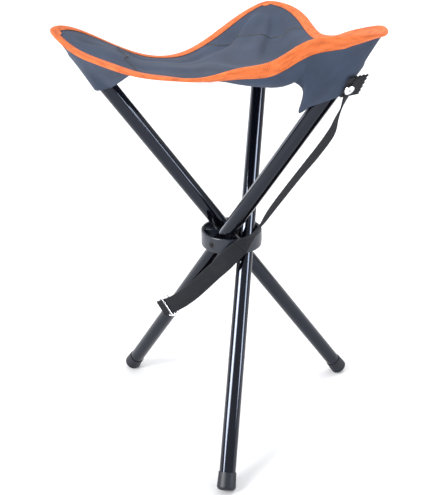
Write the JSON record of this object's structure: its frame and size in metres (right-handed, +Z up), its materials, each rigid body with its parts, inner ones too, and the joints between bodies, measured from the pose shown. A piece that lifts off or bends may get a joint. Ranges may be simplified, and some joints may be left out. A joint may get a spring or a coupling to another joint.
{
  "type": "three leg stool",
  "caption": "Folding camp stool: three crossed steel tube legs in a pivot ring, sling seat with bound edges, carry strap.",
  "frame": {"origin": "on the floor, at the middle of the stool's outline", "axes": "+X to the sitter's right, +Y to the back, +Z up from the floor"},
  "size_m": [0.3383, 0.3703, 0.5084],
  "materials": {
    "hub_plastic": "satin moulded",
    "leg_paint": "gloss black powder coat",
    "cap_plastic": "moulded, low sheen",
    "plug_plastic": "moulded",
    "washer_nylon": "smooth",
    "screw_steel": "dark zinc",
    "seat_cloth": "coarse plain weave polyester",
    "edge_cloth": "ribbed binding tape",
    "label_cloth": "smooth woven",
    "webbing": "fine ribbed webbing",
    "bright_wire": "bright nickel"
  },
  "bodies": {
    "hub": {"hub": "hub_plastic", "pivot_screws": "screw_steel", "pivot_washers": "washer_nylon", "seat_panel": "seat_cloth", "edge_tape_front": "edge_cloth", "edge_tape_left": "edge_cloth", "edge_tape_right": "edge_cloth", "care_label": "label_cloth"},
    "leg_right": {"leg_tube_right": "leg_paint", "top_plug_right": "plug_plastic", "foot_cap_right": "cap_plastic", "corner_pocket_right": "seat_cloth", "carry_strap": "webbing", "strap_rivet": "bright_wire", "strap_buckle": "bright_wire"},
    "leg_left": {"leg_tube_left": "leg_paint", "top_plug_left": "plug_plastic", "foot_cap_left": "cap_plastic", "corner_pocket_left": "seat_cloth"},
    "leg_back": {"leg_tube_back": "leg_paint", "top_plug_back": "plug_plastic", "foot_cap_back": "cap_plastic", "corner_pocket_back": "seat_cloth"}
  },
  "joints": [
    {"name": "fold_right", "type": "hinge", "parent": "hub", "child": "leg_right", "pos_m": [0.00025, -0.02032, 0.247], "axis": [-0.5, -0.866, 0], "range_deg": [0, 35.5], "deforming": ["seat_panel", "edge_tape_front", "edge_tape_left", "edge_tape_right", "care_label", "carry_strap"]},
    {"name": "fold_left", "type": "hinge", "parent": "hub", "child": "leg_left", "pos_m": [0.00025, 0.01172, 0.247], "axis": [-0.5, 0.866, 0], "range_deg": [0, 35.5]},
    {"name": "fold_back", "type": "hinge", "parent": "hub", "child": "leg_back", "pos_m": [0.028, -0.0043, 0.247], "axis": [1, 0, 0], "range_deg": [0, 35.5]}
  ],
  "couplings": [
    {"joint": "fold_left", "follows": "fold_right", "ratio": 1},
    {"joint": "fold_back", "follows": "fold_right", "ratio": 1}
  ]
}
